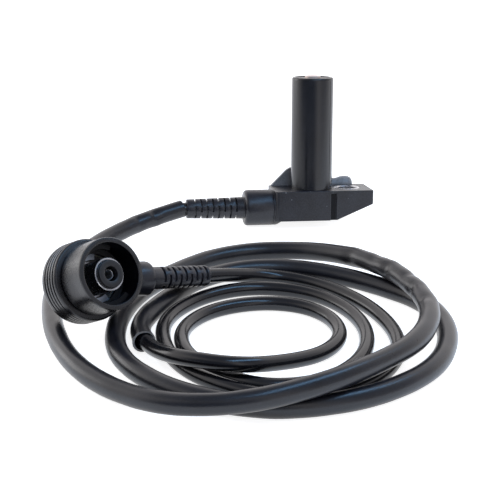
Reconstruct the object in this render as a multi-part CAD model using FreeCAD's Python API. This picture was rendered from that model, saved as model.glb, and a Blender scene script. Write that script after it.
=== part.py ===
"""Inductive engine-speed sensor with its lead: a barrel sensor on a flanged block, 1.7 m of lead
that is more than half in a protective sleeve, and a right-angle round coaxial plug with a turning
coupling cap.

The sensor head and the plug are each modelled in a frame of their own and then set down where they
lie. Millimetres and degrees. +Z is up, and the origin is on the floor under the middle of the head.
"""

import FreeCAD, Part
import math
import os

from FreeCAD import Placement, Rotation, Vector

os.makedirs("parts", exist_ok=True)

X, Y, Z = Vector(1, 0, 0), Vector(0, 1, 0), Vector(0, 0, 1)

# --- Driving dimensions of the sensor head --------------------------------------------------------
# Its frame: Z along the barrel, origin on the underside of the block at the barrel's axis, -X towards the lead.
BARREL_D = 18.0
BARREL_LENGTH = 48.4  # above the seating face
BLOCK_LEFT = 17.3  # barrel axis to the lead end
BOSS_LEFT = 17.9  # barrel axis to where the boot starts, on a round boss
BLOCK_RIGHT = 25.8  # barrel axis to the nose
BLOCK_HALF_DEPTH = 10.0
BLOCK_THICK = 13.0
NOSE_THICK = 6.0  # what the slanted underside leaves at the nose
SLANT_START = 9.3  # where the underside starts to slant
WALL = 2.0
FOOT_DEPTH = 1.0  # how far the barrel and the fin are let into the block
BUSH_X = 15.8
BUSH_OUTER_D = 11.6
BUSH_BORE_D = 8.4
BUSH_PROUD = 0.1
SPOT_FACE_D = 15.0  # seat of the screw head, cut into the slanted underside
LEAN = 8.6  # the head rests on its collar and its rear lower edge, so it leans back
TILT = 1.3  # and to the right
HEAD_AT = Vector(-0.93, -4.02, 2.12)  # the frame's origin, so that the head's box is centred

POLE_D = 6.8
POLE_PROUD = 0.6
MAGNET_LENGTH = 8.0
BOBBIN_D = 14.3
BOBBIN_HUB_D = 8.8
BOBBIN_FLANGE = 1.2
BOBBIN_FOOT_Z = 36.0
WINDING_D = 13.4
WELL_DEPTH = 10.0  # potting well in the underside

# --- Driving dimensions of the lead ---------------------------------------------------------------
LEAD_Y, LEAD_Z = -1.5, 5.1  # where the lead's axis enters the block
LEAD_D = 5.5
CORE_D = 1.1
SLEEVE_D = 7.4
SLEEVE_BORE_D = 6.2
FERRULE_D = 6.8
SPIGOT_D = 10.0
SPIGOT_LENGTH = 6.0
COLLAR_D = 15.5
COLLAR_LENGTH = 12.3
TAIL_LENGTH = 25.1

# --- Driving dimensions of the plug ---------------------------------------------------------------
# Its frame: Z out of the mouth, origin at the middle of the rim, +X along the side exit of the lead.
CAP_RIM_R = 12.95
CAP_BORE_R = 11.1
CAP_WEB_FRONT, CAP_WEB_BACK = -10.4, -12.0
CAP_WEB_BORE_R = 8.8
CAP_COUNTERBORE_R = 11.0
CAP_BACK_BORE_R = 12.8
CAP_BACK = -24.2
NECK_R = 12.0
NECK_FRONT = -12.5
GRIP_R = 14.9
GRIP_FRONT, GRIP_ROUND = -13.7, -22.2
GRIP_GROOVES = 4
GRIP_PITCH = 1.75
CAP_TURN = 40.0  # bayonet turn of the cap
SLOT_LOW, SLOT_HIGH = -22.0, 62.0  # the gap in the grip that the side exit runs in, round from +X
CARRIER_R = 12.72  # runs in the back bore of the cap with 0.08 all round
CARRIER_FRONT, CARRIER_BACK = -14.8, -22.8
POCKET_R = 8.0
POCKET_FRONT, POCKET_BACK = -16.9, -21.4
ARM_Z = -17.6
ARM_D = 8.8
ARM_COLLAR_D = 12.8
ARM_COLLAR_X, ARM_END_X = 16.2, 19.3
CONTACT_R = 5.95
CONTACT_FOOT_R = 6.6  # the part that is held in the carrier
CONTACT_BORE_R = 5.0
CONTACT_FRONT = -1.55
INSULATOR_FRONT = -0.3
SOCKET_R = 1.95
SOCKET_BORE_R = 1.5
PLUG_LEAD_X = 13.2  # where the jacket ends in the plug
PLUG_COLLAR_LENGTH = 7.3
PLUG_TAIL_LENGTH = 26.3
PLUG_AT = Vector(-96.9, -125.83, 26.86)
PLUG_HEADING, PLUG_RISE, PLUG_ROLL = -57.9, 25.7, -11.4  # the mouth's bearing and rise, and the side exit's roll

# --- The lead's route on the floor, between the tips of the two boots -----------------------------
EXIT_RUN = 2.4  # bare lead between the sensor's boot and the sleeve
ENTRY_RUN = 11.0  # into the plug's boot
SLEEVED_POINTS = [
    (-70.5, -8.7, 6.9), (-83, -16.2, 5.1), (-98.5, -33.2, 3.9), (-111, -59.2, 3.8), (-117.5, -89.2, 3.8),
    (-118, -119.2, 3.8), (-113, -148.2, 3.8), (-101, -172.2, 4), (-84, -191.7, 6.8), (-61.5, -198.2, 9.2),
    (-38, -194.7, 11.8), (-14.5, -180.2, 11.6), (4.5, -163.2, 11.4), (15.5, -139.7, 11.7),
    (15.5, -114.2, 11.8), (9.5, -92.2, 11.7), (-2, -69.7, 9), (-21, -51.2, 5), (-46, -49.7, 3.8),
    (-69, -67.2, 3.8), (-87, -91.2, 3.8), (-96.5, -120.2, 3.8), (-97, -148.2, 3.8), (-83, -174.2, 3.8),
    (-60, -190.7, 3.8), (-35, -193.2, 3.8), (-9.5, -184.7, 3.8), (11, -167.2, 3.8), (22.5, -139.2, 3.8),
    (21.5, -112.2, 3.8), (5.5, -90.2, 3.8), (-10, -76.2, 3.8), (-26, -68.2, 3.8), (-44, -68.2, 3.8),
    (-61, -76.7, 3.8), (-73.2, -93.2, 3.8), (-83.7, -109.9, 3.8), (-88.2, -125.2, 3.8),
]
BARE_POINTS = [
    (-84.8, -144.2, 5), (-77, -161.2, 9.2), (-59, -171.2, 9.6), (-41, -161.2, 5.2), (-26, -151.2, 3),
    (-16.5, -137.2, 2.8), (-16.5, -119.7, 2.8), (-25, -106.2, 2.8), (-41, -100.7, 2.8),
    (-60, -106.2, 2.8), (-72.5, -121.7, 2.8), (-74.3, -141.2, 2.8), (-67.2, -158.7, 2.8),
    (-52.5, -174.7, 2.8), (-31.5, -174.2, 2.8), (-14.5, -158.7, 2.8), (-6.5, -136.2, 2.8),
    (-8, -113.2, 2.8), (-19, -93.7, 2.8), (-40, -84.7, 2.8), (-61, -91.7, 2.8), (-77.3, -111.2, 2.8),
    (-80.8, -135.2, 2.8), (-75.5, -157.9, 2.8), (-61, -175.7, 2.8), (-42, -186.7, 2.8),
    (-20, -180.2, 2.8), (-3.5, -162.7, 2.8), (3.5, -140.2, 2.8), (1, -114.2, 2.8), (-9, -92.2, 2.8),
    (-21, -79.7, 2.8), (-34, -76.2, 3.7),
]


def cylinder(diameter, base, length, axis=Z):
    return Part.makeCylinder(diameter / 2, length, base, axis)


def tube(outer, inner, base, length, axis=Z):
    return cylinder(outer, base, length, axis).cut(cylinder(inner, base, length, axis))


def block(x, y, z):
    """A box from its (low, high) pairs."""
    return Part.makeBox(x[1] - x[0], y[1] - y[0], z[1] - z[0], Vector(x[0], y[0], z[0]))


def prism(points, axis, low, high):
    """A flat outline raised along Y or Z: points are (x, z) for Y and (x, y) for Z."""
    if axis == Y:
        corners = [Vector(a, low, b) for a, b in points]
    else:
        corners = [Vector(a, b, low) for a, b in points]
    return Part.Face(Part.makePolygon(corners + corners[:1])).extrude(axis * (high - low))


def turned(points, start=0.0, sweep=360.0):
    """A solid of revolution about Z from (radius, z) points, or the sector of one."""
    corners = [Vector(radius, 0, z) for radius, z in points]
    solid = Part.Face(Part.makePolygon(corners + corners[:1])).revolve(Vector(), Z, sweep)
    solid.rotate(Vector(), Z, start)
    return solid


def sector(inner, outer, low, high, start, end):
    return turned([(inner, low), (outer, low), (outer, high), (inner, high)], start, end - start)


def joined(first, *others):
    return first.fuse(list(others)).removeSplitter()


pieces = {}


def keep(name, shape, place):
    """Set a piece down where it lies, under the name of its node."""
    solids = [s for s in shape.Solids]
    assert len(solids) == 1 and solids[0].isValid() and solids[0].Volume > 0, (name, len(solids))
    solid = solids[0].copy()
    solid.Placement = place.multiply(solid.Placement)
    pieces[name] = solid
    return solid


# --- Sensor head ----------------------------------------------------------------------------------
head = Placement(HEAD_AT, Rotation(X, -LEAN).multiply(Rotation(Y, TILT)))
seat_z = BLOCK_THICK
tip_z = seat_z + BARREL_LENGTH
bore_top_z = tip_z - WALL
bore_d = BOBBIN_D + 0.1
nose_z = BLOCK_THICK - NOSE_THICK
lead_axis = Vector(0, LEAD_Y, LEAD_Z)
well_left = -BLOCK_LEFT + WALL
well_x, well_y = (well_left, bore_d / 2), (-BLOCK_HALF_DEPTH + WALL, BLOCK_HALF_DEPTH - WALL)
ferrule_x = (well_left + 0.4, well_left + 4.0)
lead_end_x = ferrule_x[1] + 0.5
terminal_x = 1.0
terminal_y = 5.1


def lead_line(x):
    """A point on the lead's axis through the block and its boot."""
    return Vector(x, LEAD_Y, LEAD_Z)


def head_block():
    """The flanged block: its underside slants up to the nose, and its upright edges are eased."""
    outline = [
        (-BLOCK_LEFT, 0),
        (SLANT_START, 0),
        (BLOCK_RIGHT, nose_z),
        (BLOCK_RIGHT, seat_z),
        (-BLOCK_LEFT, seat_z),
    ]
    body = prism(outline, Y, -BLOCK_HALF_DEPTH, BLOCK_HALF_DEPTH)
    rear_cut, front_cut = 0.8, 0.4
    for depth, cut in ((BLOCK_HALF_DEPTH, rear_cut), (-BLOCK_HALF_DEPTH, front_cut)):
        inwards = -cut if depth > 0 else cut
        corner = [(BLOCK_RIGHT - cut, depth), (BLOCK_RIGHT + 1, depth), (BLOCK_RIGHT + 1, depth + inwards)]
        corner += [(BLOCK_RIGHT, depth + inwards)]
        body = body.cut(prism(corner, Z, -1, seat_z + 1))
    groove_x, groove_width, groove_depth = 6.9, 2.4, 0.6
    groove = block(
        (groove_x, groove_x + groove_width),
        (-BLOCK_HALF_DEPTH - 1, -BLOCK_HALF_DEPTH + groove_depth),
        (-1, seat_z - 0.5),
    )
    return body.cut(groove)


def lead_boss():
    """A round boss that the boot butts against. It runs on a little way under the block and ends in a slope."""
    reach, slope = 1.3, 1.6
    boss = cylinder(COLLAR_D - 0.1, lead_line(-BOSS_LEFT), BOSS_LEFT - BLOCK_LEFT + reach + slope - 0.6, X)
    low = LEAD_Z - COLLAR_D / 2
    start = reach - BOSS_LEFT
    wedge = [(start, low - 1), (start, low), (start + slope, low + slope), (start + slope + 5, low + slope)]
    return boss.cut(prism(wedge + [(start + slope + 5, low - 1)], Y, -COLLAR_D, COLLAR_D))


def barrel_foot():
    """The barrel's foot is let into the block and is a little wider than the barrel."""
    return cylinder(BARREL_D + 0.4, Vector(0, 0, seat_z - FOOT_DEPTH), FOOT_DEPTH)


def barrel():
    """The barrel stands up from the block, and its bore holds the coil."""
    body = joined(barrel_foot(), cylinder(BARREL_D, Vector(0, 0, seat_z), BARREL_LENGTH))
    tip_edges = [e for e in body.Edges if len(e.Vertexes) == 1 and e.CenterOfMass.z > tip_z - 0.1]
    body = body.makeChamfer(0.8, tip_edges)
    return body.cut([cavity(), cylinder(POLE_D, Vector(0, 0, bore_top_z - 1), WALL + 2)])


def rear_fin():
    """The sloping fin on the lead's side. It stops short of the barrel, so that a bore can come down past it."""
    clear_of_barrel, fin_front = 0.95, 7.9
    foot_z, top = seat_z - FOOT_DEPTH, seat_z + 8.2
    outline = [(-16.4, foot_z), (-16.4, seat_z), (-9.9, seat_z + 6.6), (-6.4, top), (-4, top), (-4, foot_z)]
    fin = prism(outline, Y, fin_front, BLOCK_HALF_DEPTH)
    return fin.cut(cylinder(BARREL_D + 2 * clear_of_barrel, Vector(0, 0, foot_z - 1), 20))


def rear_peg():
    """The round peg with a bead on its end, half let into the block's rear edge."""
    peg_y, peg_d, bead_d, start_x, bead_x = 10.6, 5.3, 7.0, 6.3, 17.1
    peg = cylinder(peg_d, Vector(start_x, peg_y, seat_z), bead_x - start_x, X)
    bead = Part.makeSphere(bead_d / 2, Vector(bead_x, peg_y, seat_z))
    return joined(peg, bead)


def bush_seat():
    """The hole for the bush and the flat seat round its lower end."""
    hole = cylinder(BUSH_OUTER_D, Vector(BUSH_X, 0, -1), seat_z + 2)
    seat = cylinder(SPOT_FACE_D, Vector(BUSH_X, 0, -1), nose_z + 1)
    return [hole, seat]


def cavity():
    """The bore of the barrel, which holds the coil, and the potting well in the underside."""
    return joined(cylinder(bore_d, Vector(0, 0, 0), bore_top_z), block(well_x, well_y, (0, WELL_DEPTH)))


def sensor_block():
    spigot = cylinder(SPIGOT_D, lead_line(-BOSS_LEFT), SPIGOT_LENGTH, -X)
    body = joined(head_block(), lead_boss(), spigot)
    lead_hole = cylinder(LEAD_D, lead_line(well_left + 1), BLOCK_LEFT + SPIGOT_LENGTH, -X)
    return body.cut([cavity(), lead_hole, barrel_foot(), rear_fin(), rear_peg()] + bush_seat())


def coil_bobbin():
    """A spool between the barrel's tip wall and the potting, with a slot for each terminal in its lower flange."""
    length = bore_top_z - BOBBIN_FOOT_Z
    lower = cylinder(BOBBIN_D, Vector(0, 0, BOBBIN_FOOT_Z), BOBBIN_FLANGE)
    upper = cylinder(BOBBIN_D, Vector(0, 0, bore_top_z - BOBBIN_FLANGE), BOBBIN_FLANGE)
    hub = cylinder(BOBBIN_HUB_D, Vector(0, 0, BOBBIN_FOOT_Z), length)
    spool = joined(lower, hub, upper).cut(cylinder(POLE_D, Vector(0, 0, BOBBIN_FOOT_Z), length))
    return spool.cut([terminal(side) for side in (-1, 1)])


def terminal(side):
    """A flat blade from the coil down to its crimped lead core."""
    half_width, half_thick, foot_z = 0.7, 0.4, LEAD_Z - 1.2
    return block(
        (terminal_x - half_width, terminal_x + half_width),
        (side * terminal_y - half_thick, side * terminal_y + half_thick),
        (foot_z, BOBBIN_FOOT_Z + BOBBIN_FLANGE),
    )


def runs_and_arcs(points, first_extra=0.0, last_extra=0.0):
    """Straight runs joined by tangent arcs, each arc as large as its two runs allow."""
    share = 0.45
    edges, radii = [], []
    here = points[0] - (points[1] - points[0]).normalize() * first_extra
    for before, corner, after in zip(points, points[1:], points[2:]):
        back, on = before - corner, after - corner
        shorter = min(back.Length, on.Length)
        turn = math.pi - back.getAngle(on)
        back.normalize()
        on.normalize()
        reach = share * shorter
        radius = reach / math.tan(turn / 2)
        start, end = corner + back * reach, corner + on * reach
        inwards = (back + on).normalize()
        middle = corner + inwards * (radius / math.cos(turn / 2) - radius)
        edges.append(Part.LineSegment(here, start).toShape())
        edges.append(Part.Arc(start, middle, end).toShape())
        radii.append(radius)
        here = end
    onwards = (points[-1] - points[-2]).normalize()
    edges.append(Part.LineSegment(here, points[-1] + onwards * last_extra).toShape())
    return edges, radii


def swept(edges, diameter):
    """A round rod along a path of edges."""
    start = edges[0].Vertexes[0].Point
    along = edges[0].tangentAt(edges[0].FirstParameter)
    ring = Part.Wire(Part.makeCircle(diameter / 2, start, along))
    return Part.Wire(edges).makePipe(Part.Face(ring))


def head_core(side):
    """A core of the lead, from the end of the jacket to its terminal."""
    start_y, spread_x = LEAD_Y + side * 0.9, 3.0
    end_y = side * terminal_y
    points = [
        Vector(lead_end_x, start_y, LEAD_Z),
        Vector(lead_end_x + spread_x, start_y, LEAD_Z),
        Vector(terminal_x - 0.7 - spread_x, end_y, LEAD_Z),
        Vector(terminal_x - 0.7, end_y, LEAD_Z),
    ]
    return swept(runs_and_arcs(points)[0], CORE_D)


def tail(outer, start, length, slots):
    """A tapered tail along -X from a start x on the X axis, with three webs left in each slot.

    outer is its diameters at root and tip, and slots is (first, pitch, width, count, turn). The webs of a slot
    stand between those of the slot before, so that the tail bends every way. turn is where they start.
    """
    cone = Part.makeCone(outer[0] / 2, outer[1] / 2, length, Vector(start, 0, 0), -X)
    slot_floor, half_web = LEAD_D / 2 + 0.45, 0.9
    first, pitch, width, count, turn = slots
    cuts = []
    for i in range(count):
        low = start - first - i * pitch - width
        ring = tube(outer[0] + 2, 2 * slot_floor, Vector(low, 0, 0), width, X)
        for k in range(3):
            web = block((low - 1, low + 3), (0, outer[0]), (-half_web, half_web))
            web.rotate(Vector(), X, turn + 60 * i + 120 * k)
            ring = ring.cut(web)
        cuts.append(ring)
    return cone.cut(cuts)


def boot(collar_d, collar_length, start, spigot, tail_of):
    """A collar that fits over a spigot, from a start x on the X axis towards -X, and a slotted tail."""
    collar = cylinder(collar_d, Vector(start, 0, 0), collar_length, -X)
    rim = [e for e in collar.Edges if len(e.Vertexes) == 1 and e.CenterOfMass.x < start - collar_length + 0.1]
    collar = collar.makeFillet(1.6, rim)
    body = joined(collar, tail_of(start - collar_length))
    spigot_d, spigot_length = spigot
    hole = cylinder(spigot_d, Vector(start, 0, 0), spigot_length, -X)
    return body.cut([hole, cylinder(LEAD_D, Vector(start, 0, 0), 100, -X)])


def sensor_boot():
    """The boot on the block's boss."""
    slots = (3.3, 2.53, 0.7, 8, 84)
    spigot = (SPIGOT_D, SPIGOT_LENGTH)
    body = boot(COLLAR_D, COLLAR_LENGTH, -BOSS_LEFT, spigot, lambda x: tail((9.5, 8.3), x, TAIL_LENGTH, slots))
    body.translate(Vector(0, LEAD_Y, LEAD_Z))
    return body


def potting(inside):
    """The resin that fills the well and the barrel up to the coil."""
    fill = cavity().common(cylinder(100, Vector(0, 0, 0), BOBBIN_FOOT_Z))
    return fill.cut(inside)


magnet = cylinder(POLE_D, Vector(0, 0, BOBBIN_FOOT_Z - MAGNET_LENGTH), MAGNET_LENGTH)
pole_pin = cylinder(POLE_D, Vector(0, 0, BOBBIN_FOOT_Z), tip_z + POLE_PROUD - BOBBIN_FOOT_Z)
winding_low = BOBBIN_FOOT_Z + BOBBIN_FLANGE
winding_length = bore_top_z - BOBBIN_FLANGE - winding_low
head_ferrule = tube(FERRULE_D, LEAD_D, lead_line(ferrule_x[0]), ferrule_x[1] - ferrule_x[0], X)
lead_stub = cylinder(LEAD_D, lead_line(lead_end_x), 30, -X)
bush_length = BLOCK_THICK + BUSH_PROUD - nose_z
cores = {"signal_core": head_core(-1), "return_core": head_core(1)}
terminals = {"signal_terminal": terminal(-1), "return_terminal": terminal(1)}

keep("sensor_block", sensor_block(), head)
keep("barrel_shell", barrel(), head)
keep("rear_fin", rear_fin(), head)
keep("rear_peg", rear_peg(), head)
keep("mounting_bush", tube(BUSH_OUTER_D, BUSH_BORE_D, Vector(BUSH_X, 0, nose_z), bush_length), head)
keep("pole_pin", pole_pin, head)
keep("magnet", magnet, head)
keep("coil_bobbin", coil_bobbin(), head)
keep("coil_winding", tube(WINDING_D, BOBBIN_HUB_D, Vector(0, 0, winding_low), winding_length), head)
keep("head_ferrule", head_ferrule, head)
keep("sensor_boot", sensor_boot(), head)
for name, shape in {**cores, **terminals}.items():
    keep(name, shape, head)
inside = [magnet, head_ferrule, lead_stub, *cores.values(), *terminals.values()]
keep("potting_fill", potting(inside), head)

# --- Plug -----------------------------------------------------------------------------------------
heading, rise, roll = math.radians(PLUG_HEADING), math.radians(PLUG_RISE), math.radians(PLUG_ROLL)
mouth = Vector(math.cos(rise) * math.cos(heading), math.cos(rise) * math.sin(heading), math.sin(rise))
level = Vector(-math.sin(heading), math.cos(heading), 0)
side = level * math.cos(roll) + mouth.cross(level) * math.sin(roll)
plug = Placement(PLUG_AT, Rotation(side, mouth.cross(side), mouth, "ZXY"))
ring_groove = (-23.6, -22.9)


def coupling_cap():
    """A skirt, a web and a ribbed grip, with bayonet ramps and a gap in the grip for the side exit."""
    profile = [
        (CAP_BORE_R, CAP_WEB_FRONT),
        (CAP_BORE_R, -0.5),
        (CAP_BORE_R + 0.4, 0),
        (CAP_RIM_R - 0.4, 0),
        (CAP_RIM_R, -0.4),
        (CAP_RIM_R, NECK_FRONT),
        (NECK_R, NECK_FRONT),
        (NECK_R, GRIP_FRONT),
        (GRIP_R - 0.5, GRIP_FRONT),
        (GRIP_R, GRIP_FRONT - 0.5),
        (GRIP_R, GRIP_ROUND),
        (GRIP_R - 0.35, GRIP_ROUND - 1.2),
        (GRIP_R - 1.3, CAP_BACK),
        (CAP_BACK_BORE_R, CAP_BACK),
        (CAP_BACK_BORE_R, CARRIER_FRONT + 0.05),
        (CAP_COUNTERBORE_R, CARRIER_FRONT + 0.05),
        (CAP_COUNTERBORE_R, CAP_WEB_BACK),
        (CAP_WEB_BORE_R, CAP_WEB_BACK),
        (CAP_WEB_BORE_R, CAP_WEB_FRONT),
    ]
    body = turned(profile)
    ramps = [sector(9.4, CAP_BORE_R + 0.3, -5.6, -3.8, middle - 35, middle + 35) for middle in (-75, 105)]
    body = joined(body, *ramps)
    groove_width, groove_depth, first_groove = 0.7, 0.55, -15.9
    cuts = []
    for i in range(GRIP_GROOVES):
        foot = Vector(0, 0, first_groove - i * GRIP_PITCH)
        cuts.append(tube(2 * GRIP_R + 2, 2 * (GRIP_R - groove_depth), foot, groove_width))
    cuts.append(cylinder(26.5, Vector(0, 0, ring_groove[0]), ring_groove[1] - ring_groove[0]))
    cuts.append(sector(12.6, 2 * GRIP_R, CAP_BACK - 1, -12.9, SLOT_LOW, SLOT_HIGH))
    return body.cut(cuts)


def lock_ring():
    """A flat ring behind the web with two tabs that stand in its bore."""
    foot, thick, hold = -12.8, 0.8, 10.9
    tabs = [sector(6.9, 9.5, foot, foot + thick, middle - 22, middle + 22) for middle in (-76, 104)]
    ring = tube(2 * hold, 17.8, Vector(0, 0, foot), thick)
    return joined(ring, *tabs)


def along_arm(diameter, start, end, y=0.0, z=ARM_Z):
    return cylinder(diameter, Vector(start, y, z), end - start, X)


def contact_carrier():
    """The moulded disc and side arm, bored for the contact, the terminal pocket and the lead."""
    disc = cylinder(2 * CARRIER_R, Vector(0, 0, CARRIER_BACK), CARRIER_FRONT - CARRIER_BACK)
    arm = along_arm(ARM_D, 10, ARM_END_X + 4.5)
    arm = arm.cut(cylinder(2 * CAP_BACK_BORE_R, Vector(0, 0, CARRIER_FRONT), 4))
    collar = along_arm(ARM_COLLAR_D, ARM_COLLAR_X, ARM_END_X)
    body = joined(disc, arm, collar)
    contact_hole = cylinder(2 * CONTACT_FOOT_R, Vector(0, 0, POCKET_FRONT), 10)
    pocket = cylinder(2 * POCKET_R, Vector(0, 0, CARRIER_BACK - 1), POCKET_FRONT - CARRIER_BACK + 1)
    ferrule_seat = along_arm(FERRULE_D, *plug_ferrule_x)
    duct = along_arm(core_duct, POCKET_R - 2, PLUG_LEAD_X)
    return body.cut([contact_hole, pocket, ferrule_seat, duct, along_arm(LEAD_D, PLUG_LEAD_X, 40)])


def contact_insulator():
    """A plug of insulation with a wide mouth round the socket and a snug hole behind."""
    low = POCKET_FRONT
    body = cylinder(2 * CONTACT_BORE_R, Vector(0, 0, low), INSULATOR_FRONT - low)
    snug = cylinder(2 * SOCKET_R, Vector(0, 0, low - 1), 20)
    mouth_hole = cylinder(5.2, Vector(0, 0, -9), 10)
    return body.cut([snug, mouth_hole])


plug_ferrule_x = (14.0, 18.5)
core_duct = 4.2
socket_low = -19.0
signal_z, screen_y, screen_z = -18.0, 1.3, -17.45
centre_socket = tube(2 * SOCKET_R, 2 * SOCKET_BORE_R, Vector(0, 0, socket_low), -2.2 - socket_low)
plug_core = along_arm(CORE_D, SOCKET_R - 1, PLUG_LEAD_X, 0, signal_z)
plug_core = plug_core.cut(cylinder(2 * SOCKET_R, Vector(0, 0, socket_low), 10))
plug_slots = (4.6, 2.41, 1.0, 9, 47)
plug_boot = boot(
    ARM_COLLAR_D,
    PLUG_COLLAR_LENGTH,
    -ARM_END_X,
    (ARM_D, 4.5),
    lambda x: tail((8.5, 7.9), x, PLUG_TAIL_LENGTH, plug_slots),
)
plug_boot.rotate(Vector(), Z, 180)
plug_boot.translate(Vector(0, 0, ARM_Z))
plug_boot_tip_x = ARM_END_X + PLUG_COLLAR_LENGTH + PLUG_TAIL_LENGTH
contact_hollow = 2 * CONTACT_BORE_R
outer_contact = joined(
    tube(2 * CONTACT_R, contact_hollow, Vector(0, 0, POCKET_FRONT), CONTACT_FRONT - POCKET_FRONT),
    tube(2 * CONTACT_FOOT_R, contact_hollow, Vector(0, 0, POCKET_FRONT), CARRIER_FRONT - POCKET_FRONT),
)

keep("coupling_cap", coupling_cap(), plug)
keep("lock_ring", lock_ring(), plug)
keep("retaining_ring", sector(12.0, 13.2, ring_groove[0] + 0.05, ring_groove[1] - 0.05, 70, 330), plug)
keep("thrust_washer", tube(21.8, 17.8, Vector(0, 0, CARRIER_FRONT), 1.95), plug)
keep("face_seal", tube(17.4, 2 * CONTACT_FOOT_R, Vector(0, 0, CARRIER_FRONT), 1.1), plug)
keep("contact_carrier", contact_carrier(), plug)
keep("rear_cover", cylinder(2 * POCKET_R, Vector(0, 0, CARRIER_BACK), POCKET_BACK - CARRIER_BACK), plug)
keep("outer_contact", outer_contact, plug)
keep("contact_insulator", contact_insulator(), plug)
keep("centre_socket", centre_socket, plug)
keep("plug_ferrule", tube(FERRULE_D, LEAD_D, Vector(plug_ferrule_x[0], 0, ARM_Z), plug_ferrule_x[1] - plug_ferrule_x[0], X), plug)
keep("plug_signal_core", plug_core, plug)
keep("plug_screen_tail", along_arm(CORE_D, CONTACT_R - 0.55, PLUG_LEAD_X, screen_y, screen_z), plug)
keep("plug_boot", plug_boot, plug)

# --- Lead and sleeve ------------------------------------------------------------------------------
sensor_boot_tip_x = -BOSS_LEFT - COLLAR_LENGTH - TAIL_LENGTH
leaves = head.multVec(lead_line(sensor_boot_tip_x))
outwards = (leaves - head.multVec(lead_line(0))).normalize()
arrives = plug.multVec(Vector(plug_boot_tip_x, 0, ARM_Z))
sleeved = [Vector(*point) for point in SLEEVED_POINTS]
bare = [Vector(*point) for point in BARE_POINTS]
route = [leaves, leaves + outwards * EXIT_RUN, *sleeved, *bare, arrives + side * ENTRY_RUN, arrives]
path, radii = runs_and_arcs(route, lead_end_x - sensor_boot_tip_x, plug_boot_tip_x - PLUG_LEAD_X)
last_sleeved = 1 + len(sleeved)  # its place in the route
sleeve_mouth = (sleeved[-1] + bare[0]) / 2
sleeve_start = leaves + outwards * EXIT_RUN
sleeve_first = Part.LineSegment(sleeve_start, path[2].Vertexes[1].Point).toShape()
sleeve_last = Part.LineSegment(path[2 * last_sleeved - 1].Vertexes[1].Point, sleeve_mouth).toShape()
sleeve_path = [sleeve_first, *path[3 : 2 * last_sleeved], sleeve_last]

still = Placement()
signal_lead = keep("signal_lead", swept(path, LEAD_D), still)
sleeve_wall = swept(sleeve_path, SLEEVE_D).cut(swept(sleeve_path, SLEEVE_BORE_D))
lead_sleeve = keep("lead_sleeve", sleeve_wall, still)

for name, edges, solid, outer, inner in (
    ("signal_lead", path, signal_lead, LEAD_D, 0),
    ("lead_sleeve", sleeve_path, lead_sleeve, SLEEVE_D, SLEEVE_BORE_D),
):
    length = sum(edge.Length for edge in edges)
    section = math.pi * (outer**2 - inner**2) / 4
    ratio = solid.Volume / section / length
    print(name, "length", round(length, 1), "volume over section times length", round(ratio, 4))
print("arc radii", [round(radius) for radius in radii])

for name, solid in pieces.items():
    solid.exportStep("parts/" + name + ".step")
    print(name, round(solid.Volume, 1), "mm3")
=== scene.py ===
# %% [markdown]
# # A barrel speed sensor on a long lead
#
# The part has three stretches: a sensor head, a lead that is more than half in a soft sleeve, and a
# round coaxial plug whose coupling cap turns. The CAD model fixes where everything is, so the first
# cell loads it and keeps its box. Every piece below is set down in that same frame, in metres.

# %% Load the parts
import math

import bmesh
import bpy
from mathutils import Matrix, Vector, kdtree, noise


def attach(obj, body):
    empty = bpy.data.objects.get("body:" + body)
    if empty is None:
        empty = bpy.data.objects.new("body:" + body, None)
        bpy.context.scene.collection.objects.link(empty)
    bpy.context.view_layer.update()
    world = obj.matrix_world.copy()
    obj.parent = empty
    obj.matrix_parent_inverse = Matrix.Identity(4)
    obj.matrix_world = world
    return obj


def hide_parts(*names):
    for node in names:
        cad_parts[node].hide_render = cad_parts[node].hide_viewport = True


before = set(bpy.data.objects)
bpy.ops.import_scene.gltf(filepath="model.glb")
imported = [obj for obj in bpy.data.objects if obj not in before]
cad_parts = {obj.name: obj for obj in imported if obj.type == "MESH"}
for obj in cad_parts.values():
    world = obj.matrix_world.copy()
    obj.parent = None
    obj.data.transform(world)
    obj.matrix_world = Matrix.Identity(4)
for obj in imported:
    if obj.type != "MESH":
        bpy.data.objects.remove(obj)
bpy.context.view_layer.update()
studio = bpy.context.scene.collection

# %% [markdown]
# ## The camera
#
# The camera stands a little over half a metre in front of the coiled lead and looks down at it by
# twenty degrees. A long lens keeps the barrel's sides nearly parallel.

# %% Set up the camera
camera_at = Vector((-0.12897, -0.60806, 0.21100))
heading, dip, tilt = math.radians(-9.5), math.radians(20.0), math.radians(0.49)
camera = bpy.data.objects.new("camera", bpy.data.cameras.new("camera"))
studio.objects.link(camera)
aim = Matrix.Rotation(heading, 4, "Z") @ Matrix.Rotation(math.pi / 2 - dip, 4, "X")
camera.matrix_world = Matrix.Translation(camera_at) @ aim @ Matrix.Rotation(tilt, 4, "Z")
camera.data.sensor_width = 36.0
camera.data.lens = 106.56
bpy.context.scene.camera = camera
print("camera at", camera_at, "lens", camera.data.lens)

# %% [markdown]
# ## Two working frames
#
# The head leans on its collar and the plug lies tipped over the lead, so neither is square to the
# floor. It is easier to model each one upright, in millimetres, and to set the finished mesh down
# with one matrix. The head's Z runs along the barrel. The plug's Z comes out of its mouth and its X
# follows the lead out of the side.

# %% Set up the head's and the plug's frames
MM = 0.001
small = Matrix.Scale(MM, 4)
head_at = Vector((-0.93, -4.02, 2.12)) * MM
lean = Matrix.Rotation(math.radians(-8.6), 4, "X") @ Matrix.Rotation(math.radians(1.3), 4, "Y")
head = Matrix.Translation(head_at) @ lean @ small

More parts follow.
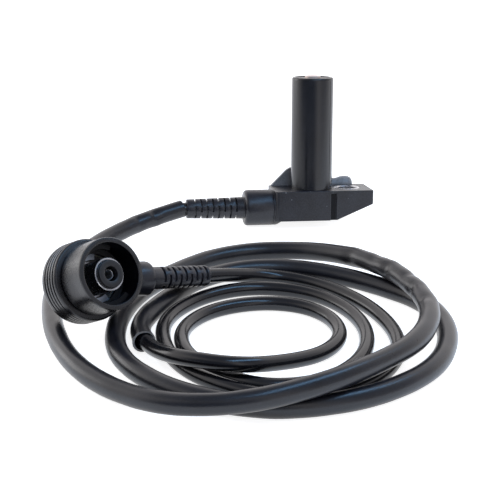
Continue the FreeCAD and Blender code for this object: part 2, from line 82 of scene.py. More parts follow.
plug_at = Vector((-96.9, -125.83, 26.86)) * MM
bearing, rise, roll = (math.radians(angle) for angle in (-57.9, 25.7, -11.4))
mouth_way = Vector((
    math.cos(rise) * math.cos(bearing), math.cos(rise) * math.sin(bearing), math.sin(rise),
))
level = Vector((-math.sin(bearing), math.cos(bearing), 0))
side_way = level * math.cos(roll) + mouth_way.cross(level) * math.sin(roll)
plug_turn = Matrix((side_way, mouth_way.cross(side_way), mouth_way)).transposed().to_4x4()
plug = Matrix.Translation(plug_at) @ plug_turn @ small
print("barrel points", (lean @ Vector((0, 0, 1))), "mouth points", mouth_way)

# %% [markdown]
# ## The lead's line
#
# A lead is a fixed length of something that bends easily, so its line comes before anything else. It
# leaves the head, drops to the floor, goes round once in its sleeve, crosses over itself, goes round
# again, comes out of the sleeve, makes three smaller turns on its own, and ends in the plug. The
# points are the corners that a NURBS spline rounds off, which gives a line with no flat runs in it.

# %% Lay out the lead's points
EXIT_RUN, ENTRY_RUN = 2.4, 11.0
LEAD_Y, LEAD_Z, ARM_Z = -1.5, 5.1, -17.6
BOOT_TIP_X, JACKET_END_X, PLUG_BOOT_TIP_X, PLUG_JACKET_END_X = -55.3, -10.8, 52.9, 13.2
boot_tip = head @ Vector((BOOT_TIP_X, LEAD_Y, LEAD_Z))
jacket_end = head @ Vector((JACKET_END_X, LEAD_Y, LEAD_Z))
outwards = (boot_tip - jacket_end).normalized()
plug_boot_tip = plug @ Vector((PLUG_BOOT_TIP_X, 0, ARM_Z))
plug_jacket_end = plug @ Vector((PLUG_JACKET_END_X, 0, ARM_Z))
sleeved_mm = [
    (-70.5, -8.7, 6.9), (-83, -16.2, 5.1), (-98.5, -33.2, 3.9), (-111, -59.2, 3.8), (-117.5, -89.2, 3.8),
    (-118, -119.2, 3.8), (-113, -148.2, 3.8), (-101, -172.2, 4), (-84, -191.7, 6.8), (-61.5, -198.2, 9.2),
    (-38, -194.7, 11.8), (-14.5, -180.2, 11.6), (4.5, -163.2, 11.4), (15.5, -139.7, 11.7),
    (15.5, -114.2, 11.8), (9.5, -92.2, 11.7), (-2, -69.7, 9), (-21, -51.2, 5), (-46, -49.7, 3.8),
    (-69, -67.2, 3.8), (-87, -91.2, 3.8), (-96.5, -120.2, 3.8), (-97, -148.2, 3.8), (-83, -174.2, 3.8),
    (-60, -190.7, 3.8), (-35, -193.2, 3.8), (-9.5, -184.7, 3.8), (11, -167.2, 3.8), (22.5, -139.2, 3.8),
    (21.5, -112.2, 3.8), (5.5, -90.2, 3.8), (-10, -76.2, 3.8), (-26, -68.2, 3.8), (-44, -68.2, 3.8),
    (-61, -76.7, 3.8), (-73.2, -93.2, 3.8), (-83.7, -109.9, 3.8), (-88.2, -125.2, 3.8),
]
bare_mm = [
    (-84.8, -144.2, 5), (-77, -161.2, 9.2), (-59, -171.2, 9.6), (-41, -161.2, 5.2), (-26, -151.2, 3),
    (-16.5, -137.2, 2.8), (-16.5, -119.7, 2.8), (-25, -106.2, 2.8), (-41, -100.7, 2.8),
    (-60, -106.2, 2.8), (-72.5, -121.7, 2.8), (-74.3, -141.2, 2.8), (-67.2, -158.7, 2.8),
    (-52.5, -174.7, 2.8), (-31.5, -174.2, 2.8), (-14.5, -158.7, 2.8), (-6.5, -136.2, 2.8),
    (-8, -113.2, 2.8), (-19, -93.7, 2.8), (-40, -84.7, 2.8), (-61, -91.7, 2.8), (-77.3, -111.2, 2.8),
    (-80.8, -135.2, 2.8), (-75.5, -157.9, 2.8), (-61, -175.7, 2.8), (-42, -186.7, 2.8),
    (-20, -180.2, 2.8), (-3.5, -162.7, 2.8), (3.5, -140.2, 2.8), (1, -114.2, 2.8), (-9, -92.2, 2.8),
    (-21, -79.7, 2.8), (-34, -76.2, 3.7),
]
sleeved = [Vector(point) * MM for point in sleeved_mm]
bare = [Vector(point) * MM for point in bare_mm]
first_bend = boot_tip + outwards * EXIT_RUN * MM
last_bend = plug_boot_tip + side_way * ENTRY_RUN * MM
plug_end = [last_bend, plug_boot_tip, plug_jacket_end]
lead_points = [jacket_end, boot_tip, first_bend, *sleeved, *bare, *plug_end]
print(len(lead_points), "points from the head to the plug")


# %% A spline through soft corners
def soft_line(name, points, depth=0.0):
    """A curve that rounds off the corners between its points, and a round tube if it has depth."""
    curve = bpy.data.curves.new(name, "CURVE")
    curve.dimensions = "3D"
    curve.resolution_u = 14
    curve.bevel_depth = depth
    curve.bevel_resolution = 10
    spline = curve.splines.new("NURBS")
    spline.points.add(len(points) - 1)
    for knot, point in zip(spline.points, points):
        knot.co = (*point, 1.0)
    spline.order_u = 3
    spline.use_endpoint_u = True
    piece = bpy.data.objects.new(name, curve)
    studio.objects.link(piece)
    return piece


LEAD_R = 2.75 * MM
lead = soft_line("lead_jacket", lead_points, LEAD_R)
print("lead has", len(lead.data.splines[0].points), "control points")

# %% [markdown]
# ## The sleeve's wall
#
# The sleeve is a loose rubber tube over the lead. It has a wall that shows at its cut ends, it is
# creased where it turns sharply, and nothing about it is perfectly round. A bevelled curve gives the
# round tube, bmesh gives it a wall, and then each crease pushes the wall in towards the line. The
# faces of the two ends are marked for a paler finish: cut rubber is paler, and painted light on the
# rims brightens it further.
#
# Thickening, spinning and pulling a mesh leave its faces in a new order in each run, and a later cut
# or bevel can depend on that order. One helper sorts them, so that every run gives the same form.

# %% Follow a line
def stations(line):
    """The points along a curve, read from the curve itself."""
    mesh = bpy.data.meshes.new_from_object(line)
    found = [vertex.co.copy() for vertex in mesh.vertices]
    bpy.data.meshes.remove(mesh)
    return found


# %% A helper that keeps the order of a mesh
def in_order(work):
    """Sorts the edges and the faces of a working mesh by their points."""
    work.verts.index_update()
    for parts in (work.edges, work.faces):
        ranked = sorted(parts, key=lambda part: sorted(vertex.index for vertex in part.verts))
        for rank, part in enumerate(ranked):
            part.index = rank
        parts.sort()


# %% Lay the sleeve's line
SLEEVE_R, SLEEVE_WALL = 3.7 * MM, 0.6 * MM
sleeve_mouth = (sleeved[-1] + bare[0]) / 2
sleeve_line = soft_line("sleeve_line", [first_bend, *sleeved, sleeve_mouth])
sleeve_stations = stations(sleeve_line)
sleeve_length = sum((b - a).length for a, b in zip(sleeve_stations, sleeve_stations[1:]))
print("sleeve length", round(sleeve_length, 4), "from", len(sleeve_stations), "stations")

# %% Make the tube with its wall
sleeve_line.data.bevel_depth = SLEEVE_R
sleeve_tube = bpy.data.meshes.new_from_object(sleeve_line)
sleeve_work = bmesh.new()
sleeve_work.from_mesh(sleeve_tube)
bmesh.ops.remove_doubles(sleeve_work, verts=sleeve_work.verts, dist=1e-6)
bmesh.ops.recalc_face_normals(sleeve_work, faces=sleeve_work.faces)
bmesh.ops.solidify(sleeve_work, geom=sleeve_work.faces[:], thickness=SLEEVE_WALL)
in_order(sleeve_work)
print("sleeve wall has", len(sleeve_work.faces), "faces")

# %% Crease it and let it go out of round
nearest = kdtree.KDTree(len(sleeve_stations))
for index, station in enumerate(sleeve_stations):
    nearest.insert(station, index)
nearest.balance()
run_so_far = [0.0]
for a, b in zip(sleeve_stations, sleeve_stations[1:]):
    run_so_far.append(run_so_far[-1] + (b - a).length)

# each crease: where it is, which side it dents, how deep, and how long
creases = [
    (Vector((-71.0, -8.7, 7.0)) * MM, Vector((0.3, -0.6, 0.7)), 0.30, 1.9 * MM),
    (Vector((-79.0, -13.2, 6.0)) * MM, Vector((-0.2, -0.8, 0.4)), 0.20, 1.6 * MM),
    (Vector((15.5, -134.2, 11.7)) * MM, Vector((-0.5, -0.6, 0.6)), 0.28, 2.9 * MM),
    (Vector((16.0, -120.2, 11.7)) * MM, Vector((-0.9, -0.3, 0.2)), 0.34, 2.4 * MM),
    (Vector((15.0, -111.2, 11.7)) * MM, Vector((0.2, -0.5, 0.9)), 0.26, 2.1 * MM),
    (Vector((12.0, -98.2, 11.7)) * MM, Vector((-0.7, -0.7, 0.3)), 0.38, 2.3 * MM),
    (Vector((8.5, -89.2, 11.6)) * MM, Vector((0.1, -0.7, 0.8)), 0.28, 2.0 * MM),
    (Vector((2.0, -77.2, 10.0)) * MM, Vector((-0.4, -0.9, 0.2)), 0.24, 2.6 * MM),
]
BULGE_SHARE = 0.25
SLOW_WAVE, SLOW_DEPTH, QUICK_WAVE, QUICK_DEPTH = 60, 0.035, 140, 0.02
FLARE, FLARE_RUN, FLARE_WAY = 0.30, 3.0, Vector((-0.9, -0.3, -0.1))
START_RUN, START_SLANT = 0.65 * MM, 0.12
line_start = (sleeve_stations[1] - sleeve_stations[0]).normalized()
for vertex in sleeve_work.verts:
    station, index, reach = nearest.find(vertex.co)
    out = vertex.co - station
    way = out.normalized()
    push = 0.0
    for middle, facing, depth, spread in creases:
        near = math.exp(-(((station - middle).length / spread) ** 2))
        push -= depth * near * max(0.0, way.dot(facing.normalized())) ** 1.5
        push += BULGE_SHARE * depth * near * (1 - abs(way.dot(facing.normalized())))
    push += SLOW_DEPTH * noise.noise(station * SLOW_WAVE)
    push += QUICK_DEPTH * noise.noise(station * QUICK_WAVE + way)
    to_mouth = (run_so_far[-1] - run_so_far[index]) / MM
    push += FLARE * math.exp(-to_mouth / FLARE_RUN) * max(0.0, way.dot(FLARE_WAY))
    vertex.co = station + out * (1 + push)
    if index == 0:
        vertex.co -= line_start * (START_RUN + START_SLANT * max(0.0, -out.z))
print("creased at", len(creases), "places")

# %% Mark the faces of the two cut ends
# the cut ends get a paler finish that is partly painted light
line_end = (sleeve_stations[-1] - sleeve_stations[-2]).normalized()
for face in sleeve_work.faces:
    face.normal_update()
    station, index, reach = nearest.find(face.calc_center_median())
    at_start = index < 2 and abs(face.normal.dot(line_start)) > 0.6
    at_end = index > len(sleeve_stations) - 3 and abs(face.normal.dot(line_end)) > 0.6
    face.material_index = int(at_start or at_end)
print("cut faces", sum(face.material_index for face in sleeve_work.faces))

# %% [markdown]
# ## From a working mesh to a piece
#
# A bmesh is only a workbench. A finished form becomes the mesh of an object that stays at the origin
# and has its place in the mesh, so every piece and its surface noise share one frame. Smooth shading
# with the sharp edges kept is set in the same step.

# %% Turn the working mesh into a piece
def set_down(work, name, place=Matrix.Identity(4), flat_over=None):
    """A finished bmesh becomes an object at the origin, with its place in its mesh.

    Faces over flat_over square metres are flat, so that an eased edge doesn't bend their light."""
    work.transform(place)
    bmesh.ops.recalc_face_normals(work, faces=work.faces)
    mesh = bpy.data.meshes.new(name)
    work.to_mesh(mesh)
    work.free()
    mesh.shade_smooth()
    mesh.set_sharp_from_angle(angle=math.radians(35))
    for face in mesh.polygons:
        face.use_smooth = flat_over is None or face.area < flat_over
    piece = bpy.data.objects.new(name, mesh)
    studio.objects.link(piece)
    print(name, "has", len(mesh.polygons), "faces")
    return piece


sleeve = set_down(sleeve_work, "lead_sleeve_wall")
sleeve.data.set_sharp_from_angle(angle=math.radians(60))
bpy.data.objects.remove(sleeve_line)

# %% [markdown]
# ## Black that isn't one black
#
# Nearly everything here is black, so the finishes have to tell the pieces apart. Moulded plastic has
# a fine spark-eroded grain, rubber is softer and duller, the lead's jacket is smooth and nearly
# glossy, and the cap is polished. The fin and the peg at the back get a pale grey, a painted highlight
# for the light they catch there. One helper sets up a black with a cloudy colour, a roughness that
# varies, and a grain that stands up as bump, and another scatters pale scuffs over it. The colours
# are noise in object space, so they stay put on the piece.

# %% A helper for noise on a piece
FLOAT_A, FLOAT_B, COLOUR_A, COLOUR_B = 2, 3, 6, 7
FLOAT_MIX, COLOUR_MIX = 0, 2
SPECK_SIZE = 0.55


def noise_at(finish, where, size, detail):
    """Noise in object space whose features are about size millimetres across."""
    texture = finish.node_tree.nodes.new("ShaderNodeTexNoise")
    texture.inputs["Scale"].default_value = 1 / (size * MM)
    texture.inputs["Detail"].default_value = detail
    finish.node_tree.links.new(where.outputs["Object"], texture.inputs["Vector"])
    return texture


print("specks are", SPECK_SIZE, "mm across")


# %% A helper for grained blacks
def grained(
    name, dark, pale, rough, grain_size, grain_depth, cloud_size=9.0, specular=0.5, speckle=0.5
):
    """A cloudy colour from dark to pale with small specks in it, an uneven sheen and a fine grain."""
    finish = bpy.data.materials.new(name)
    finish.use_nodes = True
    nodes, links = finish.node_tree.nodes, finish.node_tree.links
    shader = nodes["Principled BSDF"]
    shader.inputs["Specular IOR Level"].default_value = specular
    where = nodes.new("ShaderNodeTexCoord")
    cloud = noise_at(finish, where, cloud_size, 6.0)
    cloud.inputs["Roughness"].default_value = 0.62
    tone = nodes.new("ShaderNodeValToRGB")
    tone.color_ramp.elements[0].position = 0.35
    tone.color_ramp.elements[1].position = 0.72
    tone.color_ramp.elements[0].color = (*dark, 1)
    tone.color_ramp.elements[1].color = (*pale, 1)
    links.new(tone.outputs["Color"], shader.inputs["Base Color"])
    fine = noise_at(finish, where, SPECK_SIZE, 2.0)
    mingle = nodes.new("ShaderNodeMix")
    mingle.inputs["Factor"].default_value = speckle
    links.new(cloud.outputs["Fac"], mingle.inputs[FLOAT_A])
    links.new(fine.outputs["Fac"], mingle.inputs[FLOAT_B])
    links.new(mingle.outputs[FLOAT_MIX], tone.inputs["Fac"])
    spread = nodes.new("ShaderNodeMapRange")
    spread.inputs["To Min"].default_value = rough - 0.07
    spread.inputs["To Max"].default_value = rough + 0.09
    links.new(mingle.outputs[FLOAT_MIX], spread.inputs["Value"])
    links.new(spread.outputs["Result"], shader.inputs["Roughness"])
    grain = noise_at(finish, where, grain_size, 3.0)
    bump = nodes.new("ShaderNodeBump")
    bump.inputs["Strength"].default_value = 1.0
    bump.inputs["Distance"].default_value = grain_depth * MM
    links.new(grain.outputs["Fac"], bump.inputs["Height"])
    links.new(bump.outputs["Normal"], shader.inputs["Normal"])
    return finish


moulding_black = grained("moulding_black", (0.001, 0.001, 0.003), (0.024, 0.025, 0.033), 0.32, 0.4, 0.08)
print("first finish:", moulding_black.name)


# %% A helper for scuffs
def add_flecks(finish, colour, size, share):
    """Small pale scuffs over a finish, kept apart by a high threshold."""
    nodes, links = finish.node_tree.nodes, finish.node_tree.links
    shader = nodes["Principled BSDF"]
    under = shader.inputs["Base Color"].links[0].from_socket
    where = next(node for node in nodes if node.type == "TEX_COORD")
    spots = noise_at(finish, where, size, 2.0)
    cut = nodes.new("ShaderNodeMapRange")
    cut.inputs["From Min"].default_value = 1 - share
    cut.inputs["From Max"].default_value = 1 - share + 0.03
    links.new(spots.outputs["Fac"], cut.inputs["Value"])
    blend = nodes.new("ShaderNodeMix")
    blend.data_type = "RGBA"
    links.new(cut.outputs["Result"], blend.inputs["Factor"])
    links.new(under, blend.inputs[COLOUR_A])
    blend.inputs[COLOUR_B].default_value = (*colour, 1)
    links.new(blend.outputs[COLOUR_MIX], shader.inputs["Base Color"])


# %% Mix the blacks
add_flecks(moulding_black, (0.22, 0.22, 0.23), 1.3, 0.28)
# pale grey on the fin and the peg, a painted highlight for the light they catch at the back
rear_painted_highlight = grained("painted_highlight_moulding", (0.17, 0.17, 0.175), (0.33, 0.33, 0.335), 0.42, 0.28, 0.05)
barrel_black = grained("barrel_black", (0.001, 0.001, 0.002), (0.008, 0.009, 0.014), 0.22, 0.5, 0.02)
boot_black = grained("boot_rubber", (0.004, 0.004, 0.007), (0.024, 0.024, 0.033), 0.33, 0.35, 0.05)
sleeve_black = grained("sleeve_rubber", (0.002, 0.002, 0.004), (0.011, 0.012, 0.018), 0.29, 0.5, 0.035)
add_flecks(sleeve_black, (0.06, 0.06, 0.065), 0.6, 0.23)
jacket_black = grained("jacket_black", (0.002, 0.002, 0.003), (0.006, 0.006, 0.009), 0.20, 1.2, 0.01)
cap_black = grained("cap_black", (0.001, 0.001, 0.002), (0.006, 0.006, 0.009), 0.27, 0.45, 0.008)
cap_black.node_tree.nodes["Principled BSDF"].inputs["IOR"].default_value = 1.6
seal_black = grained("seal_black", (0.003, 0.003, 0.004), (0.010, 0.010, 0.013), 0.42, 0.3, 0.03)
resin_dark = grained("resin_dark", (0.014, 0.012, 0.010), (0.03, 0.025, 0.02), 0.35, 2.0, 0.05)
tip_brown = grained("tip_brown", (0.045, 0.035, 0.030), (0.10, 0.08, 0.07), 0.40, 0.5, 0.02)
# painted shade: a deeper black with less sheen for the faces inside the cap's mouth and the ramps
mouth_painted_shade = grained(
    "mouth_painted_shade", (0.0, 0.0, 0.001), (0.004, 0.004, 0.006), 0.30, 0.4, 0.02, specular=0.16
)
# painted shade: a deeper black for the floor of the block's front groove
groove_painted_shade = grained(
    "groove_painted_shade", (0.0, 0.0, 0.001), (0.008, 0.008, 0.010), 0.42, 0.4, 0.05, specular=0.2
)
# paler cut rubber, brightened further as painted light on the sleeve's cut rims
cut_rubber_and_painted_light = grained("cut_rubber_and_painted_light", (0.22, 0.21, 0.20), (0.44, 0.42, 0.40), 0.5, 0.3, 0.03)
spool_cream = grained("spool_cream", (0.50, 0.47, 0.38), (0.60, 0.57, 0.48), 0.5, 0.4, 0.02)
print(len(bpy.data.materials), "finishes so far")

# %% [markdown]
# ## The metals
#
# The bush and the round contact are bright steel, the pole was ground off and is duller, and the
# locking ring is darker spring steel. The centre contact is tinned, the terminals are brass and the
# wires are copper. A metal is made like the blacks, with its metallic value at one. The cap's mould
# was turned on a lathe, so the cap has fine rings, which spread each reflection along its axis.

# %% A helper for worked metals
def worked_metal(name, colour, rough, scratch_size, scratch_depth):
    finish = grained(name, [c * 0.82 for c in colour], colour, rough, scratch_size, scratch_depth, 4.0)
    finish.node_tree.nodes["Principled BSDF"].inputs["Metallic"].default_value = 1.0
    return finish


bright_steel = worked_metal("bright_steel", (0.62, 0.62, 0.64), 0.26, 0.3, 0.006)
ground_steel = worked_metal("ground_steel", (0.88, 0.76, 0.70), 0.55, 0.2, 0.02)
spring_steel = worked_metal("spring_steel", (0.36, 0.39, 0.44), 0.28, 0.3, 0.01)
tin_plate = worked_metal("tin_plate", (0.42, 0.42, 0.43), 0.40, 0.3, 0.01)
magnet_grey = worked_metal("magnet_grey", (0.30, 0.30, 0.31), 0.4, 0.3, 0.01)
contact_brass = worked_metal("contact_brass", (0.62, 0.50, 0.30), 0.3, 0.3, 0.006)
wire_copper = worked_metal("wire_copper", (0.70, 0.38, 0.24), 0.35, 0.15, 0.03)
print("metals:", bright_steel.name, magnet_grey.name, contact_brass.name, wire_copper.name)


# %% A helper for turned rings
def add_turned_rings(finish, axis, pitch, depth):
    """Fine rings round an axis, as a lathe leaves them. They spread a reflection along the axis."""
    nodes, links = finish.node_tree.nodes, finish.node_tree.links
    where = next(node for node in nodes if node.type == "TEX_COORD")
    bump = next(node for node in nodes if node.type == "BUMP")
    along = nodes.new("ShaderNodeVectorMath")
    along.operation = "DOT_PRODUCT"
    along.inputs[1].default_value = axis * (2 * math.pi / (pitch * MM))
    links.new(where.outputs["Object"], along.inputs[0])
    wave = nodes.new("ShaderNodeMath")
    wave.operation = "SINE"
    links.new(along.outputs["Value"], wave.inputs[0])
    rings = nodes.new("ShaderNodeBump")
    rings.inputs["Strength"].default_value = 1.0
    rings.inputs["Distance"].default_value = depth * MM
    links.new(wave.outputs["Value"], rings.inputs["Height"])
    links.new(rings.outputs["Normal"], bump.inputs["Normal"])


add_turned_rings(cap_black, mouth_way, 0.31, 0.010)
print("rings on", cap_black.name)


# %% Dress the lead and its sleeve
def dress(piece, *finishes):
    """Give a piece its finishes. Its faces keep the number of the finish they were made for."""
    if piece.data.materials:
        piece.data.materials.clear()
    for finish in finishes:
        piece.data.materials.append(finish)


dress(lead, jacket_black)
dress(sleeve, sleeve_black, cut_rubber_and_painted_light)
print("the sleeve has", len(sleeve.data.materials), "finishes")

# %% [markdown]
# ## Modelling helpers
#
# Most pieces are turned: a profile spun round an axis. The rest are flat outlines pulled up into
# prisms. Where one form is cut out of another a boolean does it at once, and then every hard edge is
# eased with a small bevel, because no moulding has a razor edge and the eased edge catches the light.

# %% Turned forms
FULL_TURN, SAME_POINT = 360.0, 1e-4


def turned(profile, steps=96, sweep=FULL_TURN, start=0.0):
    """Spins a closed outline of (radius, z) points round Z. A part turn gets end faces."""
    work = bmesh.new()
    work.faces.new([work.verts.new((radius, 0, z)) for radius, z in profile])
    whole = sweep == FULL_TURN
    if whole:
        bmesh.ops.delete(work, geom=work.faces[:], context="FACES_ONLY")
    bmesh.ops.spin(
        work, geom=work.verts[:] + work.edges[:] + work.faces[:], cent=(0, 0, 0), axis=(0, 0, 1),
        angle=math.radians(sweep), steps=steps, use_merge=whole, use_duplicate=False,
    )
    in_order(work)
    bmesh.ops.remove_doubles(work, verts=work.verts, dist=SAME_POINT)
    bmesh.ops.rotate(work, verts=work.verts, matrix=Matrix.Rotation(math.radians(start), 3, "Z"))
    bmesh.ops.recalc_face_normals(work, faces=work.faces)
    return work


# %% Prisms and rods
def prism(outline, low, high, along="Y"):
    """Pulls a flat outline up along Y, where its points are (x, z), or along Z with (x, y)."""
    work = bmesh.new()
    place = (lambda a, b, c: (a, c, b)) if along == "Y" else (lambda a, b, c: (a, b, c))
    base = work.faces.new([work.verts.new(place(a, b, low)) for a, b in outline])
    pulled = bmesh.ops.extrude_face_region(work, geom=[base])
    moved = [item for item in pulled["geom"] if isinstance(item, bmesh.types.BMVert)]
    bmesh.ops.translate(work, verts=moved, vec=place(0, 0, high - low))
    in_order(work)
    bmesh.ops.recalc_face_normals(work, faces=work.faces)
    return work


def rod(radius, base, length, along="Z", steps=64):
    """A plain round bar from a base point."""
    work = bmesh.new()
    bmesh.ops.create_cone(
        work, cap_ends=True, segments=steps, radius1=radius, radius2=radius, depth=length
    )
    bmesh.ops.translate(work, verts=work.verts, vec=(0, 0, length / 2))
    if along == "X":
        bmesh.ops.rotate(work, verts=work.verts, matrix=Matrix.Rotation(math.pi / 2, 3, "Y"))
    bmesh.ops.translate(work, verts=work.verts, vec=base)
    return work


# %% Cuts and joins
def loose(work, name):
    """A working mesh as a passing object, for a boolean to use."""
    mesh = bpy.data.meshes.new(name)
    work.to_mesh(mesh)
    work.free()
    item = bpy.data.objects.new(name, mesh)
    studio.objects.link(item)
    return item


def carved(body, tools, operation="DIFFERENCE"):
    """Cuts the tools out of a body, or joins them to it, and gives back a new bmesh."""
    item = loose(body, "body")
    helpers = [loose(tool, "tool") for tool in tools]
    for helper in helpers:
        step = item.modifiers.new("step", "BOOLEAN")
        step.operation = operation
        step.solver = "EXACT"
        step.object = helper
    result = bmesh.new()
    finished = item.evaluated_get(bpy.context.evaluated_depsgraph_get())
    result.from_mesh(bpy.data.meshes.new_from_object(finished))
    for spent in [item, *helpers]:
        bpy.data.objects.remove(spent)
    bmesh.ops.remove_doubles(result, verts=result.verts, dist=SAME_POINT)
    return result


# %% Eased edges
FLAT_ENOUGH = math.radians(0.5)


def eased(work, size, sharper_than=35.0, rounds=3):
    """Bevels every edge that is sharper than an angle."""
    bmesh.ops.dissolve_limit(
        work, angle_limit=FLAT_ENOUGH, verts=work.verts, edges=work.edges,
        use_dissolve_boundaries=False,
    )
    limit = math.radians(sharper_than)
    folded = [edge for edge in work.edges if len(edge.link_faces) == 2]
    hard = [edge for edge in folded if edge.calc_face_angle(0) > limit]
    bmesh.ops.bevel(
        work, geom=hard, offset=size, offset_type="OFFSET", segments=rounds, profile=0.5,
        affect="EDGES", clamp_overlap=True, material=-1,
    )
    return work


print("forms can be turned, pulled, cut and eased")

# %% [markdown]
# ## The block
#
# The block is a moulded flange. Its underside slants up to a thin nose, a shallow groove on its front
# marks where two parts of the tool met, and the fixing hole at the nose holds a steel bush. An
# outline pulled sideways gives the slant, and three corners are cut away before the hole goes in. The
# floor of the groove gets a blacker finish, painted shade for the recess.

# %% Make the block
BLOCK_LEFT, BLOCK_RIGHT, HALF_DEPTH, SEAT_Z, NOSE_Z, BUSH_X = -17.3, 25.8, 10.0, 13.0, 7.0, 15.8
side_outline = [
    (BLOCK_LEFT, 0), (9.3, 0), (BLOCK_RIGHT, NOSE_Z), (BLOCK_RIGHT, SEAT_Z), (BLOCK_LEFT, SEAT_Z),
]
block = prism(side_outline, -HALF_DEPTH, HALF_DEPTH)
front_corner = prism([(25.2, -11), (27, -11), (27, -9.4), (25.8, -9.4), (25.2, -10)], -1, 14, "Z")
rear_corner = prism([(24.8, 10), (25.8, 9.0), (27, 9.0), (27, 11), (24.8, 11)], -1, 14, "Z")
lead_corner = prism([(-16.3, -10), (-17.3, -9.0), (-19, -9.0), (-19, -11), (-16.3, -11)], -1, 14, "Z")
GROOVE_LEFT, GROOVE_RIGHT, GROOVE_Y = 6.8, 9.4, -9.1
groove_outline = [
    (GROOVE_LEFT, -10.6), (GROOVE_RIGHT, -10.6),
    (GROOVE_RIGHT - 0.1, GROOVE_Y), (GROOVE_LEFT + 0.1, GROOVE_Y),
]
front_groove = prism(groove_outline, -1, 11.9, "Z")
bush_hole = rod(5.8, (BUSH_X, 0, -1), 16)
screw_seat = rod(7.5, (BUSH_X, 0, -1), 8)
block = carved(block, [front_corner, rear_corner, lead_corner, front_groove, bush_hole, screw_seat])
block = eased(block, 0.3)
print("the block runs from", BLOCK_LEFT, "to", BLOCK_RIGHT, "mm")

# %% Add the round boss that the boot butts against, with its toe under the block
BOSS_LEFT, COLLAR_R = -17.9, 7.75
boss = rod(COLLAR_R - 0.05, (BOSS_LEFT, LEAD_Y, LEAD_Z), 3.4, "X")
low = LEAD_Z - COLLAR_R
toe = prism([(-16.6, low - 1), (-16.6, low), (-13.0, low + 3.6), (-13.0, low - 1)], -10, 10)
boss = eased(carved(boss, [toe]), 0.14)
block = carved(block, [boss], "UNION")
# the groove's floor gets the painted shade finish
for face in block.faces:
    middle = face.calc_center_median()
    painted_shade_on_groove_floor = GROOVE_LEFT < middle.x < GROOVE_RIGHT and abs(middle.y - GROOVE_Y) < 0.05
    face.material_index = int(painted_shade_on_groove_floor)
block_piece = set_down(block, "sensor_block_form", head, 4e-6)
dress(block_piece, moulding_black, groove_painted_shade)

# %% [markdown]
# ## The barrel
#
# The barrel holds the coil. It was moulded on end, so its sides are smooth and shiny, and a faint
# raised line runs up one side where the tool parted. A spun profile gives the rounded rim and the
# shallow dish at the tip, a brown ring is the resin in the bottom of the dish, and a thin strip makes
# the parting line.

# %% Make the barrel
BARREL_R, TIP_Z, POLE_R = 9.0, 61.4, 3.4
barrel_profile = [
    (POLE_R, SEAT_Z), (BARREL_R, SEAT_Z), (BARREL_R, 13.4), (BARREL_R - 0.04, 20.0),
    (BARREL_R - 0.02, TIP_Z - 1.0), (BARREL_R - 0.06, TIP_Z - 0.65), (BARREL_R - 0.17, TIP_Z - 0.36),
    (BARREL_R - 0.35, TIP_Z - 0.15), (BARREL_R - 0.6, TIP_Z - 0.03), (BARREL_R - 0.85, TIP_Z),
    (BARREL_R - 1.25, TIP_Z - 0.04), (BARREL_R - 1.5, TIP_Z - 0.2), (BARREL_R - 1.65, TIP_Z - 0.4),
    (POLE_R + 0.1, TIP_Z - 0.4), (POLE_R, TIP_Z - 0.5),
]
barrel = turned(barrel_profile, 128)
barrel_piece = set_down(barrel, "sensor_barrel", head)
dress(barrel_piece, barrel_black)

# %% Make the brown ring in the dish
DISH_R = 7.34
tip_ring_profile = [
    (POLE_R, TIP_Z - 0.5), (DISH_R, TIP_Z - 0.5), (DISH_R, TIP_Z - 0.36), (POLE_R, TIP_Z - 0.33),
]
tip_ring = turned(tip_ring_profile, 96)
tip_ring_piece = set_down(tip_ring, "tip_face_ring", head)
dress(tip_ring_piece, tip_brown)

# %% Make the parting line
parting_profile = [
    (BARREL_R - 0.4, 13.2), (BARREL_R + 0.07, 13.2), (BARREL_R + 0.05, TIP_Z - 1.2),
    (BARREL_R - 0.4, TIP_Z - 1.0),
]
parting = turned(parting_profile, 3, 1.6, -42.0)
parting_piece = set_down(parting, "barrel_parting_line", head)
dress(parting_piece, barrel_black)

# %% [markdown]
# ## The fin and the peg
#
# Behind the barrel a sloping fin stiffens it on the lead's side, and a round peg with a swollen end
# lies along the rear edge on the other side. The peg is one profile spun round, laid on its side and
# sunk halfway into the block.

# %% Make the fin
fin_outline = [
    (-16.4, 12.8), (-16.4, 13.1), (-9.9, 19.7), (-8.2, 20.8), (-6.4, 21.2), (-4, 21.2), (-4, 12.8),
]
FIN_FRONT = 7.9
fin = carved(prism(fin_outline, FIN_FRONT, HALF_DEPTH), [rod(9.95, (0, 0, 12), 12, steps=128)])
fin = eased(fin, 0.3)
fin_piece = set_down(fin, "rear_fin_form", head, 3e-6)
# the fin gets the painted highlight grey
dress(fin_piece, rear_painted_highlight)

# %% Make the peg
peg_profile = [
    (0, 0), (2.3, 0), (2.6, 0.25), (2.65, 0.7), (2.65, 6.4), (2.85, 7.5), (3.3, 8.7), (3.5, 10.2),
    (3.5, 11.3), (3.35, 12.5), (2.8, 13.5), (1.7, 14.15), (0, 14.3),
]
peg = turned(peg_profile, 64)
peg.transform(Matrix.Translation((6.3, 10.6, SEAT_Z)) @ Matrix.Rotation(math.pi / 2, 4, "Y"))
peg_piece = set_down(peg, "rear_peg_form", head)
# the peg gets the painted highlight grey
dress(peg_piece, rear_painted_highlight)

# %% [markdown]
# ## The bush and the pole
#
# A steel bush takes the screw's load so that the moulding doesn't crush. Its bore is chamfered and
# its end stands just proud. The pole is the flat end of the iron pin that carries the field to the
# toothed wheel, ground off with the tip.

# %% Make the bush
bush = turned([(4.2, 7.05), (5.75, 7.05), (5.75, 12.9), (5.55, 13.1), (4.6, 13.1), (4.2, 12.7)], 72)
bush.transform(Matrix.Translation((BUSH_X, 0, 0)))
bush_piece = set_down(bush, "bush_ring", head)
dress(bush_piece, bright_steel)

